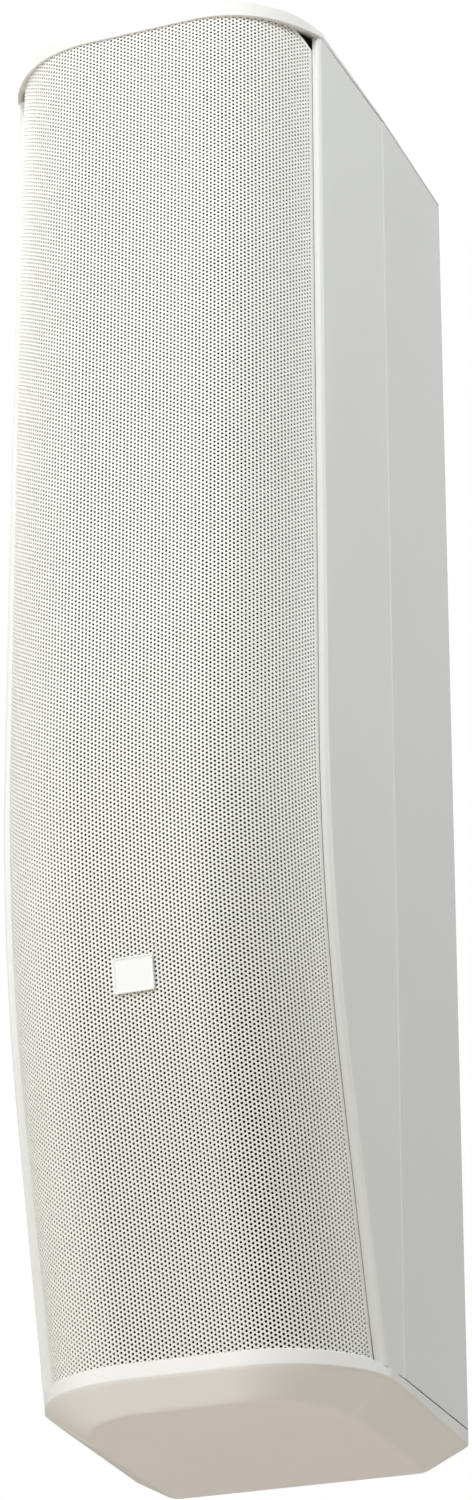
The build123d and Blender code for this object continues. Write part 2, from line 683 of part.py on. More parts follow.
def woofer_cone():
    """Paper cone with its dust cap and the voice coil on its former."""
    cone = turned(
        (COIL_R, -26.5), (COIL_R + 0.6, -27.0), (CONE_R, 0),
        (CONE_R, 1.6), (CONE_R - 1.5, 1.0), (COIL_R, -25.0),
    )
    former = ring(COIL_R + 0.6, COIL_R, MOTOR_TOP - 9.0, -25.5)
    rim_z, top_z, cap_r = -22.5, -15.0, 20.5
    rise = top_z - rim_z
    ball = (cap_r ** 2 + rise ** 2) / (2 * rise)
    shell = Sphere(ball) - Sphere(ball - 1.0)
    shell = Pos(0, 0, top_z - ball) * shell
    cap = shell & disc(cap_r + 1.0, rim_z - 1.0, rim_z + 11.0)
    return cone + former + cap


def woofer_suspension():
    """Half-roll surround and corrugated spider."""
    roll_r, mid_r, base = 4.3, 62.3, 1.9
    outer = Pos(mid_r, base) * Circle(roll_r)
    inner = Pos(mid_r, base) * Circle(roll_r - 0.8)
    half = (outer - inner) & Pos(mid_r, base + roll_r) * Rectangle(4 * roll_r, 2 * roll_r)
    lip = Pos(68.0, base) * Rectangle(4.2, 0.8)
    surround = revolve(Plane.XZ * (half + lip), axis=Axis.Z)
    steps = [COIL_R + 1.0 + 3.0 * n for n in range(7)]
    top = [(r, -31.6 + (0.6 if n % 2 else -0.6)) for n, r in enumerate(steps)] + [(37.8, -32.4)]
    spider = turned(*top, *[(r, z - 0.8) for r, z in reversed(top)])
    return Compound(children=[surround, spider])


def tweeter_offsets():
    return [TWEETER_PITCH * (n - (TWEETERS - 1) / 2) for n in range(TWEETERS)]


def tweeter_places(i, depth=REBATE_DEPTH):
    return [module_plane(i, depth) * Pos(0, t, 0) for t in tweeter_offsets()]


def tweeter_strip():
    """Bent bar in front of the woofers, standing on the baffle on a foot at each module's end."""
    front = REBATE_DEPTH - STRIP_TOP
    ends = {"top": SHELL_TOP - 2.0, "bottom": SHELL_BOTTOM + 2.0}
    strip = facet_band(front, front + STRIP_T, -STRIP_HALF, STRIP_HALF, **ends)
    high, low = facet_line(front + STRIP_T / 2, **ends), facet_line(REBATE_DEPTH, **ends)
    for a, b in zip(high[1:-1], low[1:-1]):
        leg = hypot(b[0] - a[0], b[1] - a[1])
        lean = degrees(atan2(b[1] - a[1], b[0] - a[0]))
        foot = Pos(0, (a[0] + b[0]) / 2, (a[1] + b[1]) / 2) * Rot(lean, 0, 0)
        strip += foot * Box(2 * STRIP_HALF - 10.0, leg, STRIP_FOOT_T)
    for i in range(MODULES):
        for place in tweeter_places(i):
            strip -= place * disc(TWEETER_HOLE_R, STRIP_TOP - 2 * STRIP_T, STRIP_TOP + 2)
            strip -= place * disc(TWEETER_HOLE_R + GAP, STRIP_TOP - STRIP_T - 14.0, STRIP_TOP - STRIP_T)
    strip -= facet_band(REBATE_DEPTH, REBATE_DEPTH + 10.0, -50, 50)
    return strip


def tweeter_motors():
    """Magnet cup behind each hole of the strip, with the slot that the voice coil works in."""
    back = STRIP_TOP - STRIP_T
    cup = disc(TWEETER_HOLE_R, back - 12.0, back) - ring(DOME_R + 0.5, DOME_R - 0.9, back - 7.0, back + 1)
    motors = []
    for i in range(MODULES):
        motors += [place * cup for place in tweeter_places(i)]
    return Compound(children=motors)


def tweeter_domes(i):
    """The four domes of a module, each with its edge and its voice coil former."""
    base, rise = STRIP_TOP - 5.0, 6.0
    ball = (DOME_R ** 2 + rise ** 2) / (2 * rise)
    shell = Pos(0, 0, base + rise - ball) * (Sphere(ball) - Sphere(ball - 0.5))
    dome = shell & disc(DOME_R + 2, base, base + rise + 1)
    dome += ring(TWEETER_HOLE_R - 0.3, DOME_R - 0.6, base - 0.3, base + 0.3)
    dome += ring(DOME_R, DOME_R - 0.4, STRIP_TOP - STRIP_T - 4.5, base)
    return Compound(children=[place * dome for place in tweeter_places(i)])


def woofer_screws():
    screws = [place * pan_screw(1.8, 10.0 + FLANGE_T, 3.8, 2.4) for place in woofer_screw_places()]
    return Compound(children=screws)


def build_nodes():
    nodes = {
        "cabinet_shell": cabinet_shell(),
        "top_cap": top_cap(),
        "bottom_cap": bottom_cap(),
        "top_cap_gasket": cap_gasket(SHELL_TOP, FRONT_Y),
        "bottom_cap_gasket": cap_gasket(BOTTOM_SEAM, bottom_front()),
        "cap_screws": cap_screws(),
        "baffle": baffle(),
        "baffle_screws": baffle_screws(),
        "front_grille": front_grille(),
        "grille_foam": grille_foam(),
        "badge_plate": badge_plate(),
        "damping_wadding": damping_wadding(),
        "network_board": network_board(),
        "network_parts": network_parts(),
        "wiring_harness": wiring_harness(),
        "input_panel": input_panel(),
        "input_panel_gasket": input_panel_gasket(),
        "panel_screws": panel_screws(),
        "terminal_block": terminal_block(),
        "terminal_screws": terminal_screws(),
        "coverage_knob": coverage_knob(),
        "coverage_switch_body": coverage_switch_body(),
        "voicing_slider": voicing_slider(),
        "voicing_switch_body": voicing_switch_body(),
        "threaded_inserts": threaded_inserts(),
        "woofer_screws": woofer_screws(),
        "tweeter_strip": tweeter_strip(),
        "tweeter_motors": tweeter_motors(),
    }
    for name, z in BRACE_HEIGHTS.items():
        nodes[name] = brace(z)
    woofer = {
        "woofer_frame": woofer_frame(),
        "woofer_motor": woofer_motor(),
        "woofer_cone": woofer_cone(),
        "woofer_suspension": woofer_suspension(),
    }
    for i in range(MODULES):
        for name, shape in woofer.items():
            nodes[f"{name}_{i + 1}"] = module_plane(i) * shape
        nodes[f"tweeter_domes_{i + 1}"] = tweeter_domes(i)
    return nodes


os.makedirs("parts", exist_ok=True)
for node, shape in build_nodes().items():
    export_step(shape, f"parts/{node}.step")
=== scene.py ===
import json
import math

import bmesh
import bpy
import numpy as np
from mathutils import Matrix, Vector


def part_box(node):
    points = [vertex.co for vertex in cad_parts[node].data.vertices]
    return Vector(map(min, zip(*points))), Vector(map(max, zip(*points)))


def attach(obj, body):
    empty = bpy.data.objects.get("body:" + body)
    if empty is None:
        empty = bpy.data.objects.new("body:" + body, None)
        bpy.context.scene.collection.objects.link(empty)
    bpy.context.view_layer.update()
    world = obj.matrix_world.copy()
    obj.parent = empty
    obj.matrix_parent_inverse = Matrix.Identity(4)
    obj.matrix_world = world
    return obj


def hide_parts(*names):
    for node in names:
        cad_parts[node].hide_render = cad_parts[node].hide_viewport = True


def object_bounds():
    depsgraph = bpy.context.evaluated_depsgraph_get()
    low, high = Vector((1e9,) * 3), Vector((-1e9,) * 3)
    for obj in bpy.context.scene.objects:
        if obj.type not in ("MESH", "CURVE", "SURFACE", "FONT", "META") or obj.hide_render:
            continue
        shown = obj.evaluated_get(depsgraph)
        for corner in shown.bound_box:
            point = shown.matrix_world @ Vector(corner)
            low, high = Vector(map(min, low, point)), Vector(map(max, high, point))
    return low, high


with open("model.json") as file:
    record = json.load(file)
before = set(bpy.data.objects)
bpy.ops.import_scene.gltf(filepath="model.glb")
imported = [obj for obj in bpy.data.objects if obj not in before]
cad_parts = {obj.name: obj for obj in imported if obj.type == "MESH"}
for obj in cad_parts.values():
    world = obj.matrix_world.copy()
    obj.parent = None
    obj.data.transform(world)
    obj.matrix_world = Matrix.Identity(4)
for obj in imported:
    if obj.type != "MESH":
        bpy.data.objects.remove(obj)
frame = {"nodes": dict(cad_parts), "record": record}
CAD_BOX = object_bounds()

NODES = frame["nodes"]
MM = 0.001

# Sizes of the cabinet, in metres: the outer ones are read from the frame, the others repeat the CAD's
BOX_LO, BOX_HI = CAD_BOX
HEIGHT = BOX_HI.z
FRONT_Y = BOX_LO.y
REAR_Y = BOX_HI.y
SHELL_LO, SHELL_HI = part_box("cabinet_shell")
SHELL_BOTTOM, SHELL_TOP = SHELL_LO.z, SHELL_HI.z
GASKET_T = 1.0 * MM
GRILLE_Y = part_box("front_grille")[0].y
BEND_TOP = 450 * MM
BEND_R = 900 * MM
BEND_ANGLE = math.radians(17)
FLAT_HALF = 40 * MM
GRILLE_HALF = 112.3 * MM
SHOULDER_DEPTH = 54 * MM
SHOULDER_R = ((GRILLE_HALF - FLAT_HALF) ** 2 + SHOULDER_DEPTH ** 2) / (2 * SHOULDER_DEPTH)
SHOULDER_ANGLE = math.atan2(GRILLE_HALF - FLAT_HALF, SHOULDER_R - SHOULDER_DEPTH)
SHEET_T = 1.2 * MM

# Perforation: staggered round holes in upright columns
HOLE_PITCH = 3.05 * MM
HOLE_R = 0.97 * MM
HOLE_SIDES = 8
LATTICE = (HOLE_PITCH / (2 * math.sqrt(3)), HOLE_PITCH / 2)
HEXAGON = np.array([(2, 0), (1, 1), (-1, 1), (-2, 0), (-1, -1), (1, -1)])
SIDE_MARGIN = 3.4 * MM
END_MARGIN = 0.5 * MM
CORNER_CUT_X = 7.5 * MM
CORNER_CUT_Z = 11 * MM
SECTIONS = 10
BOTTOM_POINTS = 81
UV_MARGIN = 0.01

# Cabinet plan: half-widths, and where along the depth they are measured
REAR_HALF = 121.8 * MM
CREASE_HALF = 122.3 * MM
CREASE_Y = 24 * MM
CHEEK_HALF = 118.2 * MM
CHEEK_Y = -105 * MM
REAR_CORNER_R = 2.5 * MM

# Caps: half-width at the shoulder, the shoulder's depth, and the soft run from it into the side
CAP_HALF = 118.2 * MM
CAP_SHOULDER = 55 * MM
CHEEK_RUN = 8 * MM
SHOULDER_STEPS = 24
# How far each cap's slope runs in at the side, front and rear
TOP_SLOPES = (24 * MM, 2.2 * MM, 2 * MM)
BOTTOM_SLOPES = (30 * MM, 13 * MM, 4 * MM)
# Thickness of the lips over the grille's ends, at the front and at the side
LIP_T = 2.6 * MM
SIDE_LIP_T = 6 * MM
# Lips reach back to here behind the shoulder, and meet the seam a little further on
LIP_BACK = 18 * MM
LIP_SEAM = 22 * MM
# Extra outlines this share of a slope from its soft edges keep the flats flat
BESIDE = 0.04
OUTSIDE = 0.06

# Badge
BADGE_HALF_H = 12 * MM
BADGE_T = 1.6 * MM
BADGE_CORNER_R = 1.6 * MM
BADGE_CORNER_MIN = 0.6 * MM

# Studio
FLOOR_Z = -1.25
FLOOR_HALF = 60.0
LIGHT_DISTANCE = 3.4
LIGHT_SIZE = 1.6
WORLD_TINT = (0.95, 0.98, 1.0)
WORLD_STRENGTH = 0.12

# Each light's turn, rise, power and colour. Turn 0 is in front, rise is above the level.
LIGHTS = {
    "left_low": (-60, 5, 33, (0.92, 0.98, 1.0)),
    "front_low": (-25, 8, 40, (0.97, 0.97, 0.94)),
    "front_high": (-20, 42, 16, (0.96, 0.98, 1.0)),
    "key": (12, 42, 60, (0.92, 0.98, 1.0)),
    "right_high": (50, 50, 24, (0.94, 0.98, 1.0)),
    "side_front": (100, 12, 20, (0.95, 1.0, 1.0)),
    "side_rear": (120, 30, 36, (0.96, 0.99, 1.0)),
    "rear_left": (-120, 45, 44, (1.0, 0.92, 0.84)),
}

# Camera: place in metres, angles in degrees, lens and sensor in millimetres
CAMERA_PLACE = (1.0376, -2.6008, -0.7973)
CAMERA_TURN = 21.48
CAMERA_RISE = 24.65
CAMERA_ROLL = -0.1
CAMERA_LENS = 105.95
CAMERA_SENSOR = 36


# ---------------------------------------------------------------- materials

def tree(name):
    """A new material, its nodes and links, and its shader."""
    mat = bpy.data.materials.new(name)
    mat.use_nodes = True
    nodes, links = mat.node_tree.nodes, mat.node_tree.links
    return mat, nodes, links, nodes["Principled BSDF"]


def noise(nodes, links, where, scale, detail=2.0, rough=0.5):
    """Noise from 0 to 1."""
    node = nodes.new("ShaderNodeTexNoise")
    node.inputs["Scale"].default_value = scale
    node.inputs["Detail"].default_value = detail
    node.inputs["Roughness"].default_value = rough
    links.new(where, node.inputs["Vector"])
    return node.outputs["Fac"]


def ramp(nodes, links, fac, stops):
    """Colour from (position, colour) stops."""
    node = nodes.new("ShaderNodeValToRGB")
    while len(node.color_ramp.elements) < len(stops):
        node.color_ramp.elements.new(0.5)
    for element, (at, colour) in zip(node.color_ramp.elements, stops):
        element.position = at
        element.color = (*colour, 1)
    links.new(fac, node.inputs["Fac"])
    return node.outputs["Color"]


def spread(nodes, links, fac, lo, hi):
    """A value from 0 to 1 stretched from lo to hi."""
    node = nodes.new("ShaderNodeMapRange")
    node.inputs["To Min"].default_value = lo
    node.inputs["To Max"].default_value = hi
    links.new(fac, node.inputs["Value"])
    return node.outputs["Result"]


def bump(nodes, links, height, distance, strength=1.0):
    """Normal of a surface with this height."""
    node = nodes.new("ShaderNodeBump")
    node.inputs["Distance"].default_value = distance
    node.inputs["Strength"].default_value = strength
    links.new(height, node.inputs["Height"])
    return node.outputs["Normal"]


def shade(colour, by):
    """Colour made lighter, or darker when by is negative."""
    return tuple(max(0.0, min(1.0, c * (1 + by))) for c in colour)


def finish_material(name, colour, vary, patch, rough, grain, depth,
                    metallic=0.0, coat=0.0, sheen=0.0, specular=0.5, strength=0.6):
    """Painted, moulded or cast surface: patchy tone, uneven gloss and a fine grain."""
    mat, nodes, links, shader = tree(name)
    where = nodes.new("ShaderNodeTexCoord").outputs["Object"]
    tone = noise(nodes, links, where, patch, 3.0)
    stops = [(0.3, shade(colour, -vary)), (0.7, shade(colour, vary))]
    links.new(ramp(nodes, links, tone, stops), shader.inputs["Base Color"])
    gloss = noise(nodes, links, where, patch * 2.3, 4.0, 0.6)
    links.new(spread(nodes, links, gloss, *rough), shader.inputs["Roughness"])
    fine = noise(nodes, links, where, grain, 3.0, 0.55)
    links.new(bump(nodes, links, fine, depth, strength), shader.inputs["Normal"])
    shader.inputs["Metallic"].default_value = metallic
    shader.inputs["Coat Weight"].default_value = coat
    shader.inputs["Sheen Weight"].default_value = sheen
    shader.inputs["Specular IOR Level"].default_value = specular
    return mat


# Each slot's colour, tone variation, patch scale, roughness from and to, grain scale and grain depth,
# and for metals how metallic they are
FINISHES = {
    "shell_paint": ((0.74, 0.735, 0.71), 0.012, 5.0, (0.38, 0.46), 1400, 0.02 * MM),
    "cap_paint": ((0.76, 0.74, 0.71), 0.014, 7.0, (0.42, 0.52), 1200, 0.02 * MM),
    "grille_paint": ((0.84, 0.825, 0.78), 0.012, 6.0, (0.45, 0.55), 1600, 0.015 * MM),
    "badge_white": ((0.84, 0.84, 0.83), 0.01, 40.0, (0.25, 0.35), 2200, 0.01 * MM),
    "gasket_foam": ((0.05, 0.05, 0.048), 0.2, 60.0, (0.85, 0.95), 2500, 0.15 * MM),
    "white_screw": ((0.70, 0.69, 0.66), 0.02, 80.0, (0.35, 0.5), 3000, 0.01 * MM),
    "black_board": ((0.03, 0.029, 0.028), 0.15, 25.0, (0.6, 0.8), 600, 0.08 * MM),
    "dark_screw": ((0.035, 0.035, 0.037), 0.1, 90.0, (0.3, 0.5), 3000, 0.01 * MM, 0.6),
    "black_foam": ((0.012, 0.012, 0.012), 0.3, 200.0, (0.9, 1.0), 1500, 0.6 * MM),
    "wadding": ((0.68, 0.67, 0.63), 0.08, 90.0, (0.9, 1.0), 900, 1.2 * MM),
    "green_board": ((0.03, 0.12, 0.05), 0.08, 60.0, (0.25, 0.4), 1800, 0.02 * MM),
    "network_metal": ((0.40, 0.19, 0.09), 0.25, 120.0, (0.35, 0.55), 2600, 0.06 * MM, 0.5),
    "wire_cover": ((0.05, 0.05, 0.055), 0.1, 80.0, (0.5, 0.65), 1500, 0.04 * MM),
    "panel_grey": ((0.045, 0.045, 0.048), 0.06, 30.0, (0.5, 0.62), 1500, 0.09 * MM),
    "black_plastic": ((0.022, 0.022, 0.023), 0.08, 40.0, (0.42, 0.58), 1300, 0.05 * MM),
    "bright_screw": ((0.60, 0.59, 0.56), 0.05, 150.0, (0.22, 0.36), 3500, 0.01 * MM, 1.0),
    "knob_black": ((0.018, 0.018, 0.019), 0.1, 60.0, (0.35, 0.5), 2000, 0.03 * MM),
    "switch_body": ((0.05, 0.05, 0.055), 0.08, 60.0, (0.45, 0.6), 1800, 0.03 * MM),
    "insert_brass": ((0.55, 0.40, 0.17), 0.06, 120.0, (0.25, 0.4), 2800, 0.02 * MM, 1.0),
    "motor_steel": ((0.30, 0.30, 0.31), 0.12, 50.0, (0.35, 0.55), 1500, 0.03 * MM, 0.9),
    "basket_black": ((0.03, 0.03, 0.031), 0.1, 30.0, (0.4, 0.55), 1100, 0.08 * MM, 0.2),
    "surround_rubber": ((0.02, 0.02, 0.02), 0.1, 50.0, (0.5, 0.65), 1300, 0.03 * MM),
    "dome_fabric": ((0.03, 0.03, 0.032), 0.12, 200.0, (0.45, 0.6), 4000, 0.04 * MM),
}
FINISH_EXTRAS = {
    "black_foam": {"specular": 0.1},
    "wadding": {"sheen": 0.3},
    "green_board": {"coat": 0.3},
    "panel_grey": {"strength": 0.9},
    "dome_fabric": {"sheen": 0.2},
}
MATERIALS = {}


def make_materials():
    """One material for each of the record's material slots."""
    for name, values in FINISHES.items():
        MATERIALS[name] = finish_material(name, *values, **FINISH_EXTRAS.get(name, {}))
    MATERIALS["brace_wood"] = wood_material("brace_wood")
    MATERIALS["cone_paper"] = paper_material("cone_paper")


def wood_material(name):
    """Birch plywood: long grain lines across the ply, with soft colour patches."""
    mat, nodes, links, shader = tree(name)
    where = nodes.new("ShaderNodeTexCoord").outputs["Object"]
    stretch = nodes.new("ShaderNodeMapping")
    stretch.inputs["Scale"].default_value = (4.0, 90.0, 500.0)
    links.new(where, stretch.inputs["Vector"])
    grain = noise(nodes, links, stretch.outputs["Vector"], 3.0, 6.0, 0.6)
    stops = [(0.3, (0.42, 0.27, 0.14)), (0.5, (0.60, 0.43, 0.25)), (0.7, (0.68, 0.52, 0.32))]
    links.new(ramp(nodes, links, grain, stops), shader.inputs["Base Color"])
    links.new(spread(nodes, links, grain, 0.5, 0.75), shader.inputs["Roughness"])
    links.new(bump(nodes, links, grain, 0.1 * MM, 0.5), shader.inputs["Normal"])
    return mat


def paper_material(name):
    """Pressed paper cone: fibres and a soft coating."""
    mat, nodes, links, shader = tree(name)
    where = nodes.new("ShaderNodeTexCoord").outputs["Object"]
    fibre = noise(nodes, links, where, 700.0, 8.0, 0.75)
    stops = [(0.35, (0.018, 0.018, 0.018)), (0.65, (0.045, 0.044, 0.042))]
    links.new(ramp(nodes, links, fibre, stops), shader.inputs["Base Color"])
    links.new(spread(nodes, links, fibre, 0.65, 0.85), shader.inputs["Roughness"])
    links.new(bump(nodes, links, fibre, 0.12 * MM, 0.8), shader.inputs["Normal"])
    return mat


def dress_nodes():
    """Give every CAD node the material of its slot."""
    for part in frame["record"]["subparts"]:
        mesh = NODES[part["node"]].data
        mesh.materials.clear()
        mesh.materials.append(MATERIALS[part["material_slot"]])


# ---------------------------------------------------------------- mesh help

def new_piece(name, verts, faces, slot, body="cabinet"):
    """A mesh piece with the slot's material that rides on a body."""
    mesh = bpy.data.meshes.new(name)
    mesh.from_pydata([tuple(v) for v in verts], [], faces)
    mesh.validate()
    mesh.shade_smooth()
    piece = bpy.data.objects.new(name, mesh)
    bpy.context.scene.collection.objects.link(piece)
    mesh.materials.append(MATERIALS[slot])
    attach(piece, body)
    return piece


def skin(rings, count):
    """Faces of a closed skin over rings of count points: its sides, then its two ends."""
    faces = []
    for ring in range(rings - 1):
        for k in range(count):
            a, b = ring * count + k, ring * count + (k + 1) % count
            faces.append((a, b, b + count, a + count))
    faces.append(tuple(range(count))[::-1])
    faces.append(tuple(range((rings - 1) * count, rings * count)))
    return faces


def recalc_outside(piece):
    """Turn every face of a closed piece outwards."""
    mesh = bmesh.new()
    mesh.from_mesh(piece.data)
    bmesh.ops.recalc_face_normals(mesh, faces=mesh.faces)
    mesh.to_mesh(piece.data)
    mesh.free()


# ---------------------------------------------------------------- grille

def station(s):
    """Y, Z and tilt of the grille's middle line at lengths s below its top."""
    upright = SHELL_TOP - BEND_TOP
    bend = BEND_R * BEND_ANGLE
    turn = np.clip((s - upright) / BEND_R, 0, BEND_ANGLE)
    above = np.minimum(s, upright)
    below = np.maximum(s - upright - bend, 0)
    y = GRILLE_Y + BEND_R * (1 - np.cos(turn)) + below * np.sin(turn)
    z = SHELL_TOP - above - BEND_R * np.sin(turn) - below * np.cos(turn)
    return y, z, turn


def on_grille(uv, depth):
    """Points of the curved sheet: uv holds lengths across and down the sheet, depth is below its face."""
    u, s = uv[:, 0], uv[:, 1]
    angle = np.clip((np.abs(u) - FLAT_HALF) / SHOULDER_R, 0, None)
    r = SHOULDER_R - depth
    x = np.sign(u) * (np.minimum(np.abs(u), FLAT_HALF) + r * np.sin(angle))
    fall = SHOULDER_R - r * np.cos(angle)
    y, z, tilt = station(s)
    return np.stack([x, y + fall * np.cos(tilt), z + fall * np.sin(tilt)], 1)


def sheet_outline():
    """Edge of the flat sheet in lengths across and down: cut top corners and a curved bottom edge."""
    half = FLAT_HALF + SHOULDER_R * SHOULDER_ANGLE
    tilt = BEND_ANGLE
    bend_end = SHELL_TOP - BEND_TOP + BEND_R * BEND_ANGLE
    _, z, _ = station(np.array([bend_end]))
    foot = bend_end + (z[0] - SHELL_BOTTOM) / math.cos(tilt)
    cut_angle = math.asin((GRILLE_HALF - CORNER_CUT_X - FLAT_HALF) / SHOULDER_R)
    cut_u = SHOULDER_R * (SHOULDER_ANGLE - cut_angle)
    across = np.linspace(-half, half, BOTTOM_POINTS)
    fall = SHOULDER_R * (1 - np.cos(np.clip((np.abs(across) - FLAT_HALF) / SHOULDER_R, 0, None)))
    bottom = np.stack([across, foot + fall * math.tan(tilt)], 1)
    top = [(half, CORNER_CUT_Z), (half - cut_u, 0), (cut_u - half, 0), (-half, CORNER_CUT_Z)]
    return np.array([*bottom, *top])


def nearest_on(outline, points):
    """Nearest point of a closed outline to each point, and the side of it that the point is on."""
    a, b = outline, np.roll(outline, -1, 0)
    run = b - a
    t = ((points[:, None] - a) * run).sum(2) / (run * run).sum(1)
    near = a + np.clip(t, 0, 1)[..., None] * run
    gap = np.linalg.norm(points[:, None] - near, axis=2)
    side = gap.argmin(1)
    rows = np.arange(len(points))
    return near[rows, side], side, gap[rows, side]


def inside(outline, points):
    """Which points are inside a closed outline."""
    x, y = points[:, 0][:, None], points[:, 1][:, None]
    a, b = outline, np.roll(outline, -1, 0)
    crosses = (a[:, 1] > y) != (b[:, 1] > y)
    with np.errstate(divide="ignore", invalid="ignore"):
        at = a[:, 0] + (y - a[:, 1]) * (b[:, 0] - a[:, 0]) / (b[:, 1] - a[:, 1])
    return (crosses & (x < at)).sum(1) % 2 == 1


def ring_pattern():
    """Triangles between a hexagon, numbered from 0, and the hole's polygon, numbered from 6."""
    hexagon = [(math.pi / 3 * k, k) for k in range(6)]
    hole = [(2 * math.pi * (k + 0.5) / HOLE_SIDES, 6 + k) for k in range(HOLE_SIDES)]
    outer, inner, triangles = 0, 0, []
    while outer < 6 or inner < HOLE_SIDES:
        a, b = hexagon[outer % 6][1], hole[inner % HOLE_SIDES][1]
        next_outer = math.pi / 3 * (outer + 1)
        next_inner = 2 * math.pi * (inner + 1.5) / HOLE_SIDES
        if inner == HOLE_SIDES or (outer < 6 and next_outer < next_inner):
            outer += 1
            triangles.append((a, hexagon[outer % 6][1], b))
        else:
            inner += 1
            triangles.append((a, hole[inner % HOLE_SIDES][1], b))
    return np.array(triangles)


def perforated_cells(outline):
    """Lattice places of the sheet's holes, clear of the outline, from the top down."""
    half, foot = outline[:, 0].max(), outline[:, 1].max()
    columns = int(half / LATTICE[0] / 3) + 1
    rows = int(foot / HOLE_PITCH) + 2
    grid = np.array([(3 * j, 2 * i + j % 2) for j in range(-columns, columns + 1) for i in range(rows)])
    grid = grid[inside(outline, on_lattice(grid))]
    _, _, gap = nearest_on(outline, on_lattice(grid))
    beside = half - np.abs(on_lattice(grid)[:, 0]) < SIDE_MARGIN + HOLE_R
    grid = grid[(gap > END_MARGIN + HOLE_R) & ~beside]
    return grid[np.argsort(grid[:, 1], kind="stable")]


def on_lattice(grid):
    """Lengths across and down the sheet of lattice places."""
    return grid * LATTICE


def build_grille():
    """Perforated sheet in sections: both faces, the walls of the holes and the edge of the sheet."""
    outline = sheet_outline()
    grid = perforated_cells(outline)
    hole_angle = 2 * math.pi * (np.arange(HOLE_SIDES) + 0.5) / HOLE_SIDES
    holes = on_lattice(grid)[:, None] + HOLE_R * np.stack([np.cos(hole_angle), np.sin(hole_angle)], 1)
    keys, corner = np.unique((grid[:, None] + HEXAGON).reshape(-1, 2), axis=0, return_inverse=True)
    corner = corner.reshape(-1, 6)
    places = on_lattice(keys)
    rims = sheet_rims(outline, corner, places)
    pattern = ring_pattern()
    for n, rows in enumerate(np.array_split(np.arange(len(grid)), SECTIONS)):
        grille_section(n + 1, rows, corner, places, holes, pattern, rims)


def sheet_rims(outline, corner, places):
    """Solid strips between the outermost cells and the sheet's edge, by the cell that each starts from."""
    edges = {}
    for cell, ring in enumerate(corner):
        for k in range(6):
            a, b = int(ring[k]), int(ring[(k + 1) % 6])
            edges.setdefault((min(a, b), max(a, b)), []).append((cell, a, b))
    single = [uses[0] for uses in edges.values() if len(uses) == 1]
    ends = sorted({v for _, a, b in single for v in (a, b)})
    near, side, _ = nearest_on(outline, places[ends])
    at = {v: (near[k], int(side[k])) for k, v in enumerate(ends)}
    count = len(outline)
    rims = []
    for cell, a, b in single:
        (pa, sa), (pb, sb) = at[a], at[b]
        path = [pb]
        if sa != sb:
            forward = (sb - sa) % count <= count / 2
            step, k = (1, sa) if forward else (-1, sa)
            between = []
            while k != sb:
                between.append(outline[(k + 1) % count] if forward else outline[k])
                k = (k + step) % count
            path += between[::-1]
        path.append(pa)
        rims.append((cell, a, b, path))
    return rims


def grille_section(number, rows, corner, places, holes, pattern, rims):
    """One section of the sheet, with its own unwrapped layout."""
    used, local = np.unique(corner[rows], return_inverse=True)
    local = local.reshape(-1, 6)
    cells, n_used, n_hole = len(rows), len(used), HOLE_SIDES
    hole_uv = holes[rows].reshape(-1, 2)
    rim_uv, strips = [], []
    place_of = {int(v): k for k, v in enumerate(used)}
    mine = set(rows.tolist())
    for cell, a, b, path in rims:
        if cell in mine:
            start = n_used + cells * n_hole + len(rim_uv)
            rim_uv += [tuple(p) for p in path]
            strips.append((place_of[a], place_of[b], list(range(start, start + len(path)))))
    face_uv = np.concatenate([places[used], hole_uv, np.array(rim_uv).reshape(-1, 2)])
    n_face = len(face_uv)
    index = np.concatenate([local, n_used + np.arange(cells * n_hole).reshape(cells, n_hole)], 1)
    front = index[:, pattern].reshape(-1, 3)
    back = front[:, ::-1] + n_face
    n_wall = cells * n_hole
    wall = 2 * n_face + np.arange(n_wall).reshape(cells, n_hole)
    turn = np.roll(wall, -1, 1)
    walls = np.stack([wall, turn, turn + n_wall, wall + n_wall], 2).reshape(-1, 4)
    faces = front.tolist() + back.tolist() + walls.tolist()
    uv = [face_uv, face_uv, hole_uv, hole_uv]
    edge_uv = []
    for a, b, path in strips:
        faces.append([b, a, *path[::-1]])
        faces.append([a + n_face, b + n_face, *[p + n_face for p in path]])
        edge_uv += [face_uv[p] for p in path]
    n_edge = len(edge_uv)
    at = 2 * n_face + 2 * n_wall
    for _, _, path in strips:
        for k in range(len(path) - 1):
            faces.append([at + k, at + k + 1, at + k + 1 + n_edge, at + k + n_edge])
        at += len(path)
    if n_edge:
        uv += [np.array(edge_uv), np.array(edge_uv)]
    depths = [0, SHEET_T, 0, SHEET_T] + ([0, SHEET_T] if n_edge else [])
    points = np.concatenate([on_grille(part, d) for part, d in zip(uv, depths)])
    piece = new_piece(f"grille_section_{number}", points, faces, "grille_paint")
    lay_out(piece, np.concatenate(uv))
    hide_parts("front_grille")


def lay_out(piece, uv):
    """Unwrapped layout from lengths across and down, scaled into the unit square."""
    lo, hi = uv.min(0), uv.max(0)
    flat = (uv - lo) / (hi - lo) * (1 - 2 * UV_MARGIN) + UV_MARGIN
    layer = piece.data.uv_layers.new(name="OFBake")
    loops = np.empty(len(piece.data.loops), dtype=np.int64)
    piece.data.loops.foreach_get("vertex_index", loops)
    layer.data.foreach_set("uv", flat[loops].astype(np.float32).ravel())


# ---------------------------------------------------------------- caps

def side_x(y):
    """Half-width of the cabinet at y."""
    if y >= CREASE_Y:
        return CREASE_HALF + (REAR_HALF - CREASE_HALF) * (y - CREASE_Y) / (REAR_Y - CREASE_Y)
    return CREASE_HALF + (CHEEK_HALF - CREASE_HALF) * (CREASE_Y - y) / (CREASE_Y - CHEEK_Y)


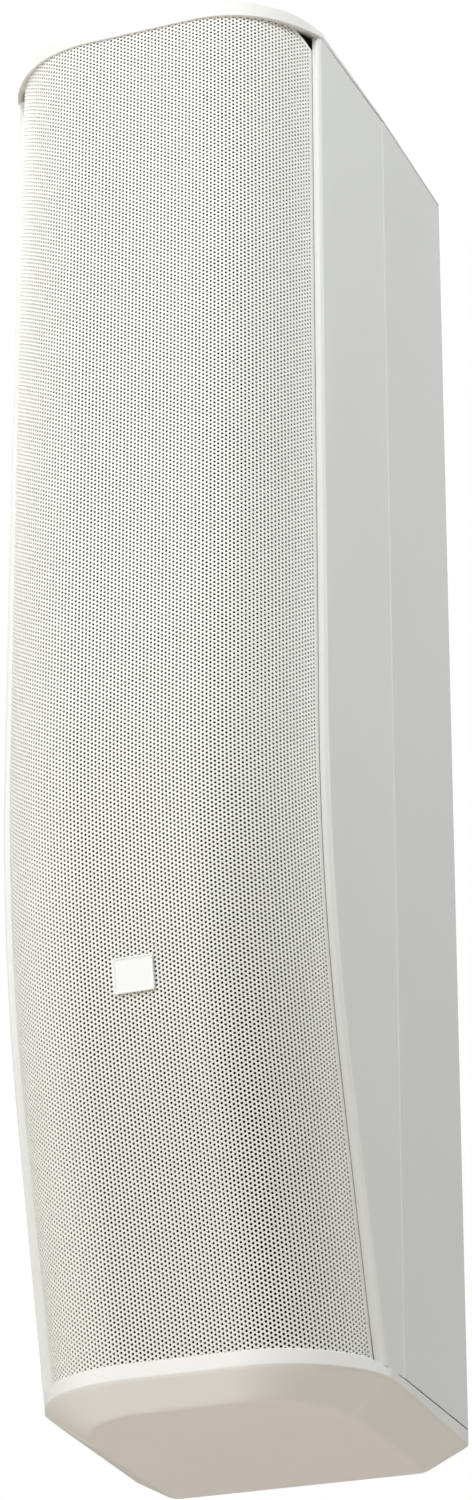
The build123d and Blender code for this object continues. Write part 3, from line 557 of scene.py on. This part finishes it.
def cap_outline(front, side_inset=0.0, front_inset=0.0, rear_inset=0.0):
    """Closed outline of a cap with the same number of points at any inset."""
    edge_y = front + CAP_SHOULDER + front_inset
    edge_x = CAP_HALF - side_inset
    start_y = front + front_inset
    flat = FLAT_HALF - side_inset / 3
    run, drop = edge_x - flat, edge_y - start_y
    r = (run ** 2 + drop ** 2) / (2 * drop)
    reach = math.atan2(run, r - drop)
    right = [(flat * k / 8, start_y) for k in range(8)]
    for k in range(SHOULDER_STEPS + 1):
        angle = reach * k / SHOULDER_STEPS
        right.append((flat + r * math.sin(angle), start_y + r * (1 - math.cos(angle))))
    crease_x = side_x(CREASE_Y) - side_inset
    rear, rear_x = REAR_Y - rear_inset, side_x(REAR_Y) - side_inset
    side_y = edge_y + CHEEK_RUN
    bend = (edge_x + CHEEK_RUN / 2 / math.tan(reach), edge_y + CHEEK_RUN / 2)
    right += soft_corner((edge_x, edge_y), bend, (side_x(side_y) - side_inset, side_y), 4)[1:]
    right += points_to(right[-1], (crease_x, CREASE_Y), 8)
    right += points_to(right[-1], (rear_x, rear - REAR_CORNER_R), 8)
    for k in range(1, 7):
        angle = math.pi / 12 * k
        corner_x = rear_x - REAR_CORNER_R * (1 - math.cos(angle))
        right.append((corner_x, rear - REAR_CORNER_R * (1 - math.sin(angle))))
    right += points_to(right[-1], (0.0, rear), 8)
    return right + [(-x, y) for x, y in reversed(right[1:-1])]


def points_to(a, b, steps):
    """Points after a on the straight way to b."""
    return [tuple(p + (q - p) * k / steps for p, q in zip(a, b)) for k in range(1, steps + 1)]


def soft_corner(a, b, c, steps):
    """Points of a curve from a to c that leaves and arrives along the lines to b."""
    points = []
    for k in range(steps + 1):
        t = k / steps
        start, middle, end = (1 - t) ** 2, 2 * t * (1 - t), t * t
        points.append(tuple(start * p + middle * q + end * w for p, q, w in zip(a, b, c)))
    return points


def height_at(y, stops):
    """Height between (y, height) stops."""
    return float(np.interp(y, [at for at, _ in stops], [z for _, z in stops]))


def loft_cap(name, front, levels, seam, lip, rim, end, node):
    """Cap skinned through outlines. A level holds the insets and a place on the profile: 2 is the seam,
    1 the lip's edge, 0 the end of the upright wall and -1 the end of the slope."""
    base = cap_outline(front)
    verts = []
    for insets, place in levels:
        for (x, y), (_, y0) in zip(cap_outline(front, *insets), base):
            wall, edge = height_at(y0, rim), height_at(y0, lip)
            if place > 1:
                z = seam
            elif place > 0:
                z = wall + place * (edge - wall)
            else:
                z = wall + place * (wall - end)
            verts.append((x, y, z))
    piece = new_piece(name, verts, skin(len(levels), len(base)), "cap_paint")
    recalc_outside(piece)
    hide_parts(node)


def cap_levels(slopes, soft_rim, soft_end):
    """Levels of a cap from its seam, over its lip and down its wall and its slope."""
    inner = (SIDE_LIP_T, LIP_T, LIP_T)
    edge = (0.1 * LIP_T, 0.1 * LIP_T, 0.1 * LIP_T)
    levels = [(inner, 2), (inner, 1), (edge, 1), ((0, 0, 0), 0.97), ((0, 0, 0), 0.93)]
    shares = [(0.0, soft_rim + OUTSIDE)]
    shares += soft_corner((0.0, soft_rim), (0.0, 0.0), (soft_rim, -soft_rim), 6)
    near_end = 1 - BESIDE
    shares += [(soft_rim + BESIDE, -soft_rim - BESIDE), (near_end - soft_end, soft_end - near_end)]
    shares += soft_corner((1 - soft_end, soft_end - 1), (1.0, -1.0), (1 + soft_end, -1.0), 8)
    shares += [(1 + OUTSIDE + soft_end, -1.0)]
    return levels + [(tuple(share * d for d in slopes), place) for share, place in shares]


def lip_stops(side, start, seam, cover):
    """Stops of a lip's edge: from start to the height that covers the seam, then back to the seam."""
    height = seam + cover
    return [start, (side - 1 * MM, height), (side + LIP_BACK, height), (side + LIP_SEAM, seam)]


def build_caps():
    """The lips of both caps cover the cut ends of the grille. A rim holds the upright wall's heights."""
    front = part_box("bottom_cap")[0].y
    side = front + CAP_SHOULDER
    seam = SHELL_BOTTOM - GASKET_T
    lip = lip_stops(side, (side - 9 * MM, 30.5 * MM), seam, GASKET_T)
    rim = [(front, 19.5 * MM), (side, 21 * MM), (CREASE_Y, 20.4 * MM), (REAR_Y, 16.2 * MM)]
    levels = cap_levels(BOTTOM_SLOPES, 0.1, 0.12)
    loft_cap("bottom_cap_skin", front, levels, seam, lip, rim, 0.0, "bottom_cap")
    side = FRONT_Y + CAP_SHOULDER
    seam = SHELL_TOP + GASKET_T
    lip = lip_stops(side, (side - 14 * MM, 987.6 * MM), seam, -GASKET_T)
    rim = [(FRONT_Y, 1000.4 * MM), (side - 15 * MM, 996.5 * MM), (side, 994 * MM),
           (CREASE_Y, 992 * MM), (REAR_Y, 991.4 * MM)]
    levels = cap_levels(TOP_SLOPES, 0.15, 0.15)
    loft_cap("top_cap_skin", FRONT_Y, levels, seam, lip, rim, HEIGHT, "top_cap")


# ---------------------------------------------------------------- badge

def build_badge():
    """Blank plate with soft corners and a slightly raised rim."""
    lo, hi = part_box("badge_plate")
    corners = np.array([v.co for v in NODES["badge_plate"].data.vertices])
    centre = Vector((corners.min(0) + corners.max(0)) / 2)
    tilt = math.asin((BEND_TOP - centre.z) / BEND_R)
    half_w = (hi.x - lo.x) / 2
    # Inset from the edge and height above the back of the plate, over the rim and down to its face
    levels = [(0.0, 0.0), (0.0, BADGE_T - 0.5 * MM), (0.15 * MM, BADGE_T - 0.15 * MM), (0.5 * MM, BADGE_T),
              (1.1 * MM, BADGE_T), (1.4 * MM, BADGE_T - 0.25 * MM), (2.0 * MM, BADGE_T - 0.25 * MM)]
    verts = []
    for inset, h in levels:
        r = max(BADGE_CORNER_R - inset, BADGE_CORNER_MIN)
        verts += [(x, y, h) for x, y in rounded_rectangle(half_w - inset, BADGE_HALF_H - inset, r, 6)]
    faces = skin(len(levels), len(verts) // len(levels))
    out = Vector((0, -math.cos(tilt), -math.sin(tilt)))
    up = Vector((0, -math.sin(tilt), math.cos(tilt)))
    frame_at = Matrix((Vector((1, 0, 0)), up, out)).transposed()
    base = centre - out * BADGE_T / 2
    piece = new_piece("badge_blank", [base + frame_at @ Vector(v) for v in verts], faces, "badge_white")
    recalc_outside(piece)
    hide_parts("badge_plate")


def rounded_rectangle(half_w, half_h, r, steps):
    """Points round a rectangle about the origin, with steps in each corner."""
    points = []
    for cx, cy, start in ((1, 1, 0), (-1, 1, 90), (-1, -1, 180), (1, -1, 270)):
        for k in range(steps + 1):
            a = math.radians(start + 90 * k / steps)
            points.append((cx * (half_w - r) + r * math.cos(a), cy * (half_h - r) + r * math.sin(a)))
    return points


# ---------------------------------------------------------------- studio

def build_floor():
    """Wide pale floor, far below the object, that throws light up at its underside."""
    mesh = bpy.data.meshes.new("studio_floor")
    corners = [(x * FLOOR_HALF, y * FLOOR_HALF, FLOOR_Z) for x, y in ((-1, -1), (1, -1), (1, 1), (-1, 1))]
    mesh.from_pydata(corners, [], [(0, 1, 2, 3)])
    floor = bpy.data.objects.new("studio_floor", mesh)
    bpy.context.scene.collection.objects.link(floor)
    pale = finish_material("floor_pale", (0.88, 0.80, 0.73), 0.01, 0.5, (0.6, 0.7), 200, 0.1 * MM)
    mesh.materials.append(pale)


def area_light(name, turn, rise, power, colour):
    """Square soft light aimed at the middle of the object."""
    data = bpy.data.lights.new(name, "AREA")
    data.shape = "SQUARE"
    data.size = LIGHT_SIZE
    data.energy = power
    data.color = colour
    lamp = bpy.data.objects.new(name, data)
    bpy.context.scene.collection.objects.link(lamp)
    turn, rise = math.radians(turn), math.radians(rise)
    away = Vector((math.sin(turn) * math.cos(rise), -math.cos(turn) * math.cos(rise), math.sin(rise)))
    lamp.location = Vector((0, 0, HEIGHT / 2)) + away * LIGHT_DISTANCE
    lamp.rotation_euler = away.to_track_quat("Z", "Y").to_euler()
    lamp.visible_camera = False


def build_lights():
    """All the lights of the studio."""
    for name, values in LIGHTS.items():
        area_light(name, *values)


def build_world():
    """Even white studio: white behind the object, softer as a light."""
    world = bpy.data.worlds.new("studio")
    bpy.context.scene.world = world
    world.use_nodes = True
    nodes, links = world.node_tree.nodes, world.node_tree.links
    nodes.clear()
    seen, lit = nodes.new("ShaderNodeBackground"), nodes.new("ShaderNodeBackground")
    seen.inputs["Color"].default_value = (1, 1, 1, 1)
    seen.inputs["Strength"].default_value = 1.0
    lit.inputs["Color"].default_value = (*WORLD_TINT, 1)
    lit.inputs["Strength"].default_value = WORLD_STRENGTH
    mix = nodes.new("ShaderNodeMixShader")
    links.new(nodes.new("ShaderNodeLightPath").outputs["Is Camera Ray"], mix.inputs["Fac"])
    links.new(lit.outputs["Background"], mix.inputs[1])
    links.new(seen.outputs["Background"], mix.inputs[2])
    links.new(mix.outputs["Shader"], nodes.new("ShaderNodeOutputWorld").inputs["Surface"])
    bpy.context.scene.view_settings.view_transform = "Standard"


def build_camera():
    """The camera that sees the object as the photograph does."""
    data = bpy.data.cameras.new("photo_camera")
    data.sensor_width = CAMERA_SENSOR
    data.lens = CAMERA_LENS
    camera = bpy.data.objects.new("photo_camera", data)
    bpy.context.scene.collection.objects.link(camera)
    turn = Matrix.Rotation(math.radians(CAMERA_TURN), 4, "Z")
    rise = Matrix.Rotation(math.radians(90 + CAMERA_RISE), 4, "X")
    roll = Matrix.Rotation(math.radians(CAMERA_ROLL), 4, "Z")
    camera.matrix_world = Matrix.Translation(CAMERA_PLACE) @ turn @ rise @ roll
    bpy.context.scene.camera = camera


make_materials()
dress_nodes()
build_grille()
build_caps()
build_badge()
build_floor()
build_lights()
build_world()
build_camera()
